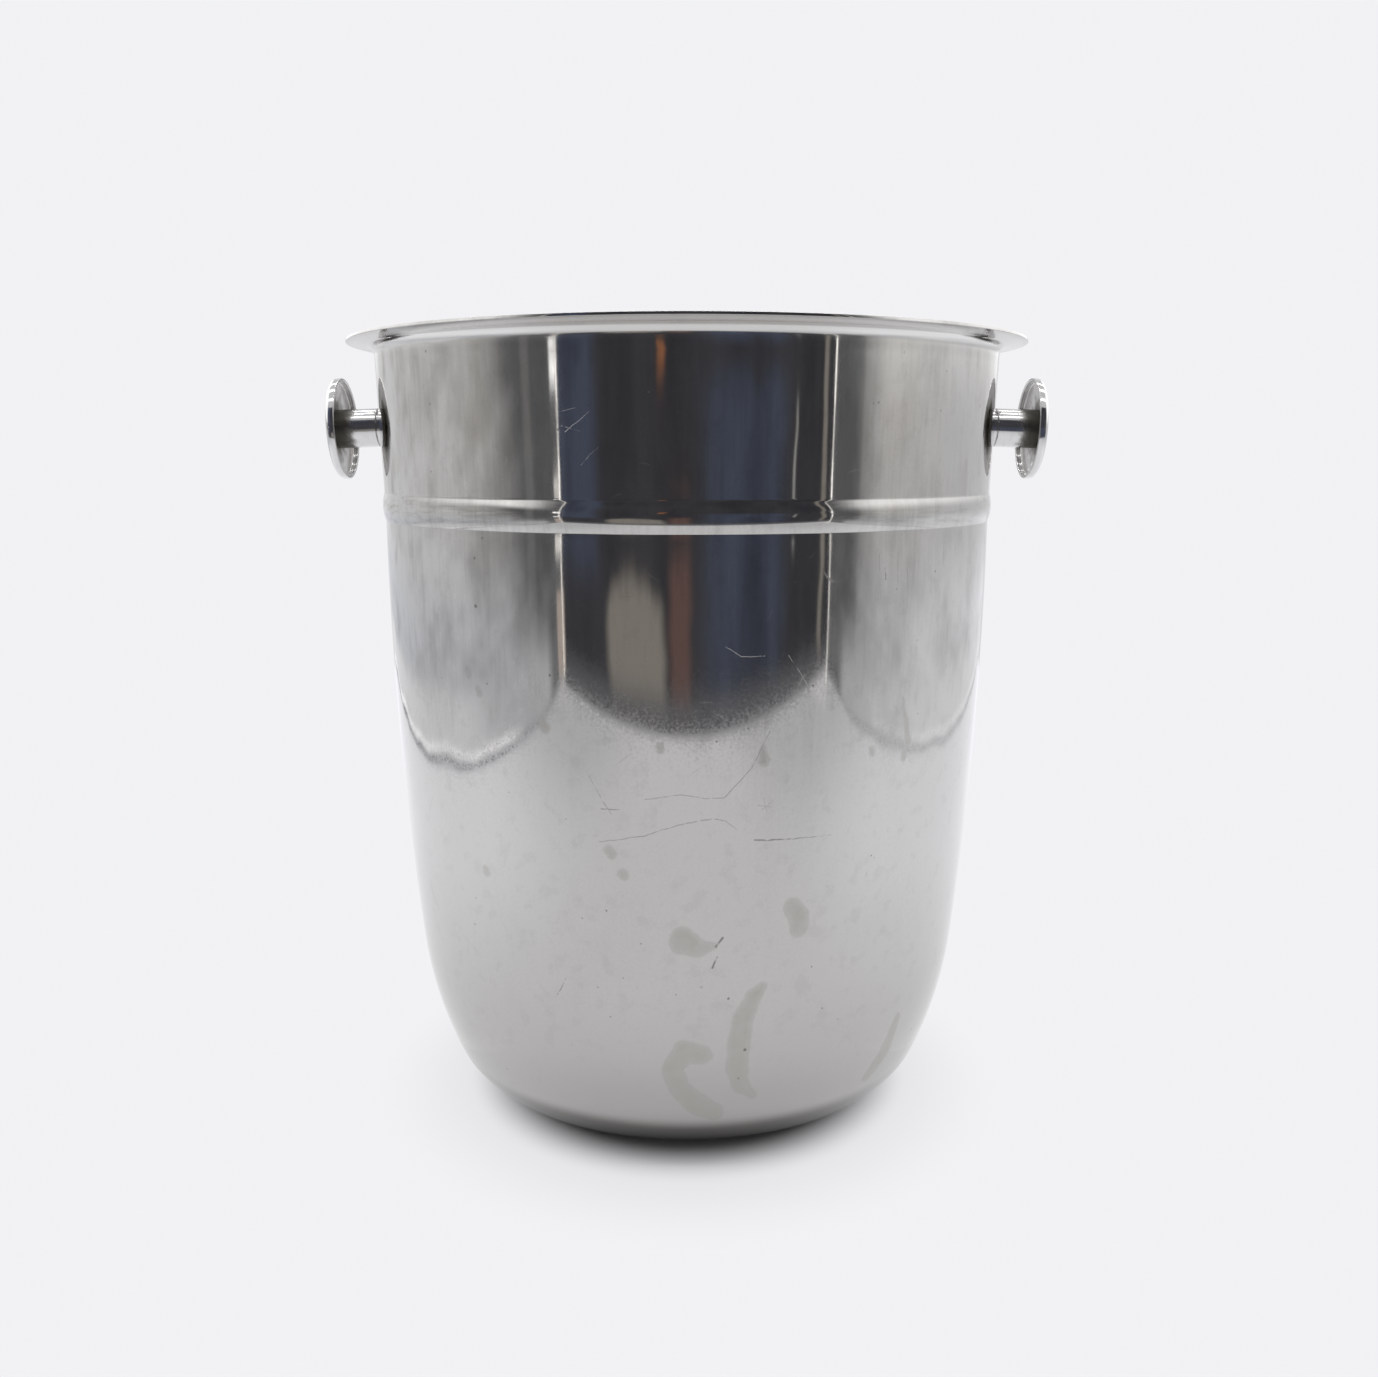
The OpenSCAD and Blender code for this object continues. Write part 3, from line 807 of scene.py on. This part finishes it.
inner_steel, flow = new_material("inner_steel")
place = object_place(flow)
colour, roughness = worn_steel(flow, place, INSIDE_LIT_TONES, INSIDE_ROUGH, INSIDE_HAIR)
rings = noise(flow, place, RING_WAVES, 2.0, seed=3.0) - 0.5
metal(flow, colour, roughness + rings * 0.08, bumps(flow, rings, 0.03, 0.0004), RING_SMEAR)
print("inner steel", len(inner_steel.node_tree.nodes), "nodes")

# %% [markdown]
# The shell is a lathe shape. Its profile is a chain of arcs that run into each other, so it is drawn as
# a draughtsman would: a pencil point makes straight runs, and a compass swings it about a centre.
# The compass is Blender's own spin, on a single vertex. The inside follows the outside one sheet
# thickness away, about the same centres, so the same list is walked back after the lip.
# Then the whole profile is spun once round the axis.

# %% Pencil and compass
MM = 0.001
AXIS_UP = (0.0, 0.0, 1.0)
COMPASS_AXIS = (0.0, -1.0, 0.0)
MERGE_GAP = 1e-6


def at(x, z):
    return Vector((x, 0.0, z))


def unit(angle):
    return at(math.cos(math.radians(angle)), math.sin(math.radians(angle)))


def run(bm, point, angle, length, steps):
    """Draws a straight line from a point, at an angle in degrees."""
    for _ in range(steps):
        new = bmesh.ops.extrude_vert_indiv(bm, verts=[point])["verts"][0]
        new.co += unit(angle) * length / steps
        point = new
    return point


def swing(bm, point, centre, turn, steps):
    """Swings a point about a centre, by a turn in degrees."""
    made = bmesh.ops.spin(bm, geom=[point], cent=centre, axis=COMPASS_AXIS,
                          angle=math.radians(turn), steps=steps)
    return next(v for v in made["geom_last"] if isinstance(v, bmesh.types.BMVert))


def draw(bm, point, moves):
    for kind, where, amount, steps in moves:
        if kind == "run":
            point = run(bm, point, where, amount, steps)
        else:
            point = swing(bm, point, where, amount, steps)
    return point


def walked_back(moves):
    """The same moves from their end to their start."""
    back = []
    for kind, where, amount, steps in reversed(moves):
        if kind == "run":
            back.append((kind, where + 180.0, amount, steps))
        else:
            back.append((kind, where, -amount, steps))
    return back


def lathe(start, moves, segments):
    """Spins the profile that the moves draw once round Z, as a closed, smooth mesh."""
    bm = bmesh.new()
    draw(bm, bm.verts.new(start), moves)
    bmesh.ops.spin(bm, geom=bm.verts[:] + bm.edges[:], cent=(0, 0, 0), axis=AXIS_UP,
                   angle=math.tau, steps=segments, use_merge=True)
    bmesh.ops.remove_doubles(bm, verts=bm.verts, dist=MERGE_GAP)
    bmesh.ops.recalc_face_normals(bm, faces=bm.faces)
    for face in bm.faces:
        face.smooth = True
    return bm


print("pencil and compass ready")

# %% [markdown]
# The sizes are those of the CAD source, in millimetres and degrees. Only a few are given: the places
# where one arc runs into the next follow from them, as they do on a drawing board. An arc that meets another
# smoothly has its centre on the line through the meeting point and the other centre.

# %% The shell's sizes, as in the CAD source
HEIGHT, SHEET = 225 * MM, 0.8 * MM
WALL_R, UPPER_FLARE = 180.7 / 2 * MM, 2.0
BRIM_R, BRIM_SLOPE, BRIM_BEND_R = 200 / 2 * MM, 9.0, 3 * MM
BEAD_DROP, BEAD_R, BEAD_STEP, BEAD_PROUD = 46.8 * MM, 12 * MM, 0.8 * MM, 0.7 * MM
CREASE_R, RUNOUT_R = 0.8 * MM, 3 * MM
HEEL_R, HEEL_TURN, SIDE_R, SIDE_END, UPRIGHT_H = 20.5 * MM, 66.4, 118 * MM, 83.8, 2 * MM
FOOT_W, BASE_LIFT, BASE_BEND_R = 8 * MM, 2 * MM, 8 * MM


def turn_of(cosine):
    return math.degrees(math.acos(cosine))


flare, slope = math.radians(UPPER_FLARE), math.radians(BRIM_SLOPE)
bead_c = at(WALL_R + BEAD_STEP - BEAD_R, HEIGHT - BEAD_DROP)
crease_turn = turn_of(1 - BEAD_STEP / (BEAD_R + CREASE_R))
crease_c = bead_c + (BEAD_R + CREASE_R) * unit(-crease_turn)
upper_r = WALL_R + BEAD_STEP - BEAD_PROUD
runout_reach = RUNOUT_R + (upper_r - bead_c.x) * math.cos(flare)
runout_turn = turn_of(runout_reach / (BEAD_R + RUNOUT_R)) - UPPER_FLARE
runout_c = bead_c + (BEAD_R + RUNOUT_R) * unit(runout_turn)
lip_r = SHEET / 2
lip_c = at(BRIM_R - lip_r, HEIGHT - lip_r)
under_lip = lip_c + lip_r * unit(BRIM_SLOPE - 90)
wall_line = BRIM_BEND_R + upper_r * math.cos(flare) - bead_c.z * math.sin(flare)
brim_line = BRIM_BEND_R + under_lip.x * math.sin(slope) - under_lip.z * math.cos(slope)
brim_bend_c = at(wall_line * math.cos(slope) - brim_line * math.sin(flare),
                 wall_line * math.sin(slope) - brim_line * math.cos(flare)) / math.cos(flare + slope)
heel_end, side_top = HEEL_TURN - 90, SIDE_END - 90
upright_z = crease_c.z - UPRIGHT_H
cos_heel, cos_side = math.cos(math.radians(HEEL_TURN)), math.cos(math.radians(SIDE_END))
side_top_z = HEEL_R * (1 - cos_heel) + SIDE_R * (cos_heel - cos_side)
belly_r = (upright_z - side_top_z) / cos_side
belly_c = at(WALL_R - belly_r, upright_z)
side_c = belly_c + (belly_r - SIDE_R) * unit(side_top)
heel_c = side_c + (SIDE_R - HEEL_R) * unit(heel_end)
base_turn = turn_of(1 - BASE_LIFT / (2 * BASE_BEND_R))
foot_bend_c = at(heel_c.x - FOOT_W, BASE_BEND_R)
lift_bend_c = foot_bend_c + 2 * BASE_BEND_R * unit(-90 - base_turn)
print("base radius", round(heel_c.x, 5), "belly radius", round(belly_r, 4))

# %% The shell's profile
runout_end = runout_c + RUNOUT_R * unit(180 - UPPER_FLARE)
bend_start = brim_bend_c + BRIM_BEND_R * unit(180 - UPPER_FLARE)
bend_end = brim_bend_c + BRIM_BEND_R * unit(90 + BRIM_SLOPE)
outside = [
    ("run", 0.0, lift_bend_c.x, 12),
    ("swing", lift_bend_c, -base_turn, 6),
    ("swing", foot_bend_c, base_turn, 6),
    ("run", 0.0, FOOT_W, 3),
    ("swing", heel_c, HEEL_TURN, 24),
    ("swing", side_c, side_top - heel_end, 14),
    ("swing", belly_c, -side_top, 20),
    ("run", 90.0, UPRIGHT_H, 1),
    ("swing", crease_c, -crease_turn, 5),
    ("swing", bead_c, crease_turn + runout_turn, 14),
    ("swing", runout_c, -runout_turn - UPPER_FLARE, 6),
    ("run", 90.0 - UPPER_FLARE, (bend_start - runout_end).length, 12),
    ("swing", brim_bend_c, BRIM_SLOPE + UPPER_FLARE - 90, 10),
    ("run", BRIM_SLOPE, (under_lip - bend_end).length, 3),
]
print("outside moves", len(outside))

# %% [markdown]
# The sheet's edge was trimmed and only broken by hand, so the lip is flat with two small rounds. That
# flat edge shows the dark room as one thin dark line along the top of the brim, which a full round wouldn't.
# After the spin, faces that look more up than out belong to the inside and take the satin steel.

# %% The lip and the shell
LIP_ROUND, LIP_REACH = 0.12 * MM, 0.01 * MM
SHELL_SEGMENTS = 240

lip_half = lip_r - LIP_ROUND
lip_low = lip_c + LIP_REACH * unit(BRIM_SLOPE) - lip_half * unit(BRIM_SLOPE + 90)
lip_high = lip_low + 2 * lip_half * unit(BRIM_SLOPE + 90)
lip = [
    ("run", BRIM_SLOPE, LIP_REACH, 1),
    ("swing", lip_low, 90.0, 4),
    ("run", BRIM_SLOPE + 90, 2 * lip_half, 2),
    ("swing", lip_high, 90.0, 4),
    ("run", BRIM_SLOPE + 180, LIP_REACH, 1),
]
bm = lathe(at(0.0, BASE_LIFT), outside + lip + walked_back(outside), SHELL_SEGMENTS)
for face in bm.faces:
    centre = face.calc_center_median()
    radial = face.normal.dot(Vector((centre.x, centre.y, 0.0)).normalized())
    face.material_index = 0 if radial > face.normal.z else 1
shell = finish_piece(bm, "bucket_shell_drawn", shell_steel, inner_steel)
print("shell faces", len(shell.data.polygons))

# %% [markdown]
# Each finished piece rides on the object's one body and stands for its CAD node, which is hidden.
# Corners over 40 degrees are kept sharp, so that a flat end doesn't shade like a ball.

# %% The shell takes its place
SHARP_ANGLE = math.radians(40)


def triangles(piece):
    return sum(len(polygon.vertices) - 2 for polygon in piece.data.polygons)


def dress(piece, node):
    """Makes a piece ride with the object and stand for a CAD node, which it hides."""
    piece.data.set_sharp_from_angle(angle=SHARP_ANGLE)
    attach(piece, "root")
    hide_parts(node)
    print(piece.name, "triangles", triangles(piece))


dress(shell, "bucket_shell")

# %% [markdown]
# Each knob is a pressed dish riveted on a turned stem, with a saddle washer between the stem and the
# round wall, and a screw with two washers inside. All of them are turned round the knob's own axis, so each
# is drawn with the same pencil and compass, spun about Z, and then laid along that axis. The axis is square
# to the flared wall, so it dips two degrees. The left knob is the right one, turned half a circle.

# %% The knob's axis
KNOB_DROP = 24 * MM
KNOB_SEGMENTS = 96

knob_z = HEIGHT - KNOB_DROP
knob_wall_r = upper_r + (knob_z - bead_c.z) * math.tan(flare)
knob_dip = Matrix.Rotation(math.radians(90 + UPPER_FLARE), 4, "Y")
knob_axis = Matrix.Translation((knob_wall_r, 0, knob_z)) @ knob_dip
KNOBS = {"left": Matrix.Rotation(math.pi, 4, "Z") @ knob_axis, "right": knob_axis}


def turned_pair(kind, start, moves, materials, shape=None):
    """A turned piece on each knob's axis, which replaces the CAD node of its kind."""
    pieces = []
    for side, axis in KNOBS.items():
        bm = lathe(start, moves, KNOB_SEGMENTS)
        if shape:
            shape(bm)
        bmesh.ops.transform(bm, matrix=axis, verts=bm.verts)
        piece = finish_piece(bm, side + "_" + kind + "_turned", *materials)
        dress(piece, side + "_" + kind)
        pieces.append(piece)
    return pieces


print("knob axis meets the wall at", round(knob_wall_r, 5), round(knob_z, 5))

# %% [markdown]
# The knobs' steel has no rings round Z, so it is polished without a direction. Where the stem meets the
# dish the steel is coloured dark brown and rougher. It fades with the distance from the knob's axis on the
# dish, and along the axis on the stem.

# %% Steel for the knobs
KNOB_TONES = (0.660, 0.655, 0.655), (0.570, 0.563, 0.555)
# The hollow back's paler tones are painted light; its higher roughness gives it a satin finish.
HOLLOW_LIT_TONES = (0.880, 0.875, 0.870), (0.800, 0.790, 0.780)
JOINT_BROWN, JOINT_ROUGH, JOINT_WAVES = (0.105, 0.095, 0.070), 0.42, 420.0
JOINT_ON_DISH, JOINT_ON_STEM = (0.0055, 0.0115), (0.0990, 0.1030)
JOINT_DROP = 0.0005
TURNING_WAVES = (2600.0, 20.0, 20.0)


def brown_near_axis(flow, place, ragged):
    _, y, z = split(flow, place)
    away = flow.make("ShaderNodeCombineXYZ", None, {1: y, 2: z - (knob_z - JOINT_DROP)})
    return (vector_number(flow, "LENGTH", away) + ragged * 0.010).step(*JOINT_ON_DISH, 1.0, 0.0)


def brown_near_dish(flow, place, ragged):
    x, _, _ = split(flow, place)
    return (abs(x) + ragged * 0.006).step(*JOINT_ON_STEM)


def knob_steel(name, tones, rough, brown_at=None):
    material, flow = new_material(name)
    place = object_place(flow)
    colour, roughness = worn_steel(flow, place, tones, rough)
    if brown_at:
        ragged = noise(flow, place, even(JOINT_WAVES), 4.0, seed=5.0) - 0.5
        brown = brown_at(flow, place, ragged)
        # Dark brown and rougher round the joint of stem and dish.
        colour = blend(flow, brown * 0.85, colour, JOINT_BROWN)
        roughness = roughness + brown * (JOINT_ROUGH - rough)
    rings = noise(flow, place, TURNING_WAVES, 2.0, seed=8.0) - 0.5
    metal(flow, colour, roughness + rings * 0.05, bumps(flow, rings, 0.05, 0.0002), 0.0)
    return material


dish_steel = knob_steel("dish_steel", KNOB_TONES, 0.10)
# Painted light: the hollow back of the dish is made paler than its face.
hollow_steel = knob_steel("hollow_steel", HOLLOW_LIT_TONES, 0.34, brown_near_axis)
stem_steel = knob_steel("stem_steel", KNOB_TONES, 0.15, brown_near_dish)
screw_steel = knob_steel("screw_steel", KNOB_TONES, 0.20)
print("knob steels", dish_steel.name, hollow_steel.name, stem_steel.name, screw_steel.name)

# %% [markdown]
# The dish is pressed from the same sheet: a short straight rim, a tight corner and a face that is a small
# part of a large ball. The hole in its middle takes the stem's spigot.

# %% Knob dishes
KNOB_R, FINGER_GAP, RIM_DEPTH = 30 / 2 * MM, 12.3 * MM, 1.5 * MM
CORNER_R, DOME_R, DISH_T = 1.2 * MM, 90 * MM, 0.8 * MM
SPIGOT_R, FIT_CLEARANCE = 6 / 2 * MM, 0.05 * MM

corner_c = at(KNOB_R - CORNER_R, FINGER_GAP + RIM_DEPTH)
dome_c = at(0.0, corner_c.z - math.sqrt((DOME_R - CORNER_R) ** 2 - corner_c.x ** 2))
dome_edge = math.degrees(math.atan2(corner_c.z - dome_c.z, corner_c.x))
rim_c = at(KNOB_R - DISH_T / 2, FINGER_GAP + DISH_T / 2)
hole_r = SPIGOT_R + FIT_CLEARANCE
face_turn, back_turn = turn_of(hole_r / DOME_R), turn_of(hole_r / (DOME_R - DISH_T))


def dome_at(r, inwards):
    return dome_c.z + math.sqrt((DOME_R - inwards) ** 2 - r ** 2)


dish = [
    ("run", 90.0, corner_c.z - rim_c.z, 2),
    ("swing", corner_c, dome_edge, 6),
    ("swing", dome_c, face_turn - dome_edge, 16),
    ("run", -90.0, dome_at(hole_r, 0) - dome_at(hole_r, DISH_T), 1),
    ("swing", dome_c, dome_edge - back_turn, 16),
    ("swing", corner_c, -dome_edge, 4),
    ("run", -90.0, corner_c.z - rim_c.z, 2),
    ("swing", rim_c, 180.0, 8),
]


def mark_back(bm):
    """Gives the hollow side, which faces the wall, the second material."""
    for face in bm.faces:
        face.material_index = 1 if face.normal.z < -0.5 else 0


turned_pair("knob_dish", at(KNOB_R, rim_c.z), dish, [dish_steel, hollow_steel], mark_back)

# %% [markdown]
# The stem is turned from bar. One end has the spigot that is riveted over in the dish, and the other end
# is tapped for the screw. Its edges are broken with a small chamfer, and so is the saddle washer's, which
# leaves the fine seam that shows close to the wall.

# %% Knob stems
STEM_R, SADDLE_T, CHAMFER = 11.5 / 2 * MM, 2.2 * MM, 0.25 * MM
SCREW_R, SCREW_L, TAP_RUNOUT = 5 / 2 * MM, 12 * MM, 1.5 * MM
WASHER_R, WASHER_T, SEAL_T, PASS_CLEARANCE = 15 / 2 * MM, 1.2 * MM, 0.8 * MM, 0.25 * MM

inner_r = knob_wall_r - SHEET
seal_u = -SHEET - (inner_r - math.sqrt(inner_r ** 2 - WASHER_R ** 2)) - SEAL_T
washer_u = seal_u - WASHER_T
tip_u = washer_u + SCREW_L
tap_r, tap_end_u = SCREW_R + FIT_CLEARANCE, tip_u + TAP_RUNOUT
stem_end_u, spigot_end_u = dome_at(STEM_R, DISH_T), dome_at(SPIGOT_R, 0)
slant = CHAMFER * math.sqrt(2)
stem = [
    ("run", 0.0, tap_r, 2),
    ("run", -90.0, tap_end_u - SADDLE_T, 2),
    ("run", 0.0, STEM_R - CHAMFER - tap_r, 2),
    ("run", 45.0, slant, 1),
    ("run", 90.0, stem_end_u - SADDLE_T - CHAMFER, 8),
    ("run", 180.0, STEM_R - SPIGOT_R, 2),
    ("run", 90.0, spigot_end_u - stem_end_u - CHAMFER, 1),
    ("run", 135.0, slant, 1),
    ("run", 180.0, SPIGOT_R - CHAMFER, 3),
]
turned_pair("knob_stem", at(0.0, tap_end_u), stem, [stem_steel])

# %% [markdown]
# The stem's end is flat and the wall is round, so a saddle washer fills the wedge between them. It is turned
# like the stem, and then the points at its wall end slide along the axis until they touch the wall. A few
# short slides do this more simply than a cut would, and leave clean faces.

# %% Saddle washers, whose one end follows the wall
WALL_END, SLIDES = 1e-7, 6


def onto_wall(bm):
    """Slides the points at the wall's end along the axis until they touch the wall."""
    for point in bm.verts:
        if point.co.z > WALL_END:
            continue
        for _ in range(SLIDES):
            place = knob_axis @ point.co
            wall_r = upper_r + (place.z - bead_c.z) * math.tan(flare)
            point.co.z -= (math.hypot(place.x, place.y) - wall_r) * math.cos(flare)


pass_r = SCREW_R + PASS_CLEARANCE
saddle = [
    ("run", 0.0, STEM_R - pass_r, 3),
    ("run", 90.0, SADDLE_T - CHAMFER, 2),
    ("run", 135.0, slant, 1),
    ("run", 180.0, STEM_R - CHAMFER - pass_r, 2),
    ("run", -90.0, SADDLE_T, 2),
]
turned_pair("saddle_washer", at(pass_r, 0.0), saddle, [stem_steel], onto_wall)

# %% [markdown]
# Inside the wall a flat washer spreads the screw's pull, and a rubber washer under it seals the hole. The
# flat washer is stamped, so its edges are round. The screw has a low round head with a slot for a driver.

# %% Flat washers
EDGE_ROUND = 0.3 * MM

flat_washer = [
    ("run", 0.0, WASHER_R - EDGE_ROUND - pass_r, 3),
    ("swing", at(WASHER_R - EDGE_ROUND, washer_u + EDGE_ROUND), 90.0, 4),
    ("run", 90.0, WASHER_T - 2 * EDGE_ROUND, 1),
    ("swing", at(WASHER_R - EDGE_ROUND, seal_u - EDGE_ROUND), 90.0, 4),
    ("run", 180.0, WASHER_R - EDGE_ROUND - pass_r, 3),
    ("run", -90.0, WASHER_T, 1),
]
turned_pair("flat_washer", at(pass_r, washer_u), flat_washer, [screw_steel])

# %% [markdown]
# The screw is turned with its head and its shank in one. Its slot was sawn, so a box cuts it out with a
# Boolean, which leaves the sharp corners of a saw cut. The thread is hidden in the stem and stays plain.

# %% Fixing screws, with a slot cut by a box
HEAD_R, HEAD_H, HEAD_ROUND = 9.5 / 2 * MM, 3 * MM, 1.2 * MM
SLOT_W, SLOT_DEPTH = 1.2 * MM, 1.4 * MM
TIP_CHAMFER = 0.5 * MM

head_u = washer_u - HEAD_H
screw = [
    ("run", 0.0, HEAD_R - HEAD_ROUND, 4),
    ("swing", at(HEAD_R - HEAD_ROUND, head_u + HEAD_ROUND), 90.0, 8),
    ("run", 90.0, HEAD_H - HEAD_ROUND, 2),
    ("run", 180.0, HEAD_R - SCREW_R, 2),
    ("run", 90.0, SCREW_L - TIP_CHAMFER, 4),
    ("run", 135.0, TIP_CHAMFER * math.sqrt(2), 1),
    ("run", 180.0, SCREW_R - TIP_CHAMFER, 2),
]


def cut_away(piece, cutter):
    trim = piece.modifiers.new("cut", "BOOLEAN")
    trim.operation = "DIFFERENCE"
    trim.solver = "EXACT"
    trim.object = cutter
    graph = bpy.context.evaluated_depsgraph_get()
    made = bpy.data.meshes.new_from_object(piece.evaluated_get(graph))
    piece.modifiers.clear()
    piece.data = made
    bpy.data.objects.remove(cutter)


screws = turned_pair("fixing_screw", at(0.0, head_u), screw, [screw_steel])
slot_box = Matrix.Translation((0, 0, head_u)) @ Matrix.Diagonal((SLOT_W, 4 * HEAD_R, 2 * SLOT_DEPTH, 1.0))
for side, piece in zip(KNOBS, screws):
    bm = bmesh.new()
    bmesh.ops.create_cube(bm, size=1.0)
    bmesh.ops.transform(bm, matrix=KNOBS[side] @ slot_box, verts=bm.verts)
    cut_away(piece, finish_piece(bm, side + "_slot_cutter", screw_steel))
    piece.data.set_sharp_from_angle(angle=SHARP_ANGLE)
print("slots", SLOT_W, "by", SLOT_DEPTH)

# %% [markdown]
# The screw needs its hole through the sheet. It is cut last, with a bar on each knob's axis, and the washers
# cover its edge on both sides.

# %% Screw holes in the shell
HOLE_SEGMENTS, BAR_LENGTH = 48, 6 * MM

for side, axis in KNOBS.items():
    bm = bmesh.new()
    bmesh.ops.create_cone(bm, cap_ends=True, segments=HOLE_SEGMENTS, radius1=pass_r, radius2=pass_r,
                          depth=BAR_LENGTH)
    bmesh.ops.transform(bm, matrix=axis, verts=bm.verts)
    cut_away(shell, finish_piece(bm, side + "_hole_cutter", shell_steel))
shell.data.set_sharp_from_angle(angle=SHARP_ANGLE)
print("shell triangles with holes", triangles(shell))

# %% [markdown]
# The rubber washers keep the CAD's own shape, which already follows the curved wall. Old rubber is matt and
# near black, with a grey bloom and a fine grain.

# %% Sealing rubber
RUBBER, BLOOM = (0.042, 0.042, 0.046), (0.085, 0.085, 0.088)
BLOOM_WAVES, RUBBER_WAVES = 180.0, 3000.0

seal_rubber, flow = new_material("seal_rubber_aged")
place = object_place(flow)
bloom = noise(flow, place, even(BLOOM_WAVES), 4.0)
grain = noise(flow, place, even(RUBBER_WAVES), 1.0, seed=2.0)
shader = flow.make("ShaderNodeBsdfPrincipled", None, {
    "Base Color": blend(flow, bloom.step(0.45, 0.75), RUBBER, BLOOM),
    "Roughness": bloom * 0.25 + 0.6, "Normal": bumps(flow, grain, 0.2, 0.0001)})
flow.make("ShaderNodeOutputMaterial", None, {"Surface": shader})
for side in KNOBS:
    seal = nodes[side + "_seal_washer"]
    seal.data.materials.clear()
    seal.data.materials.append(seal_rubber)
print("seals", [side + "_seal_washer" for side in KNOBS])
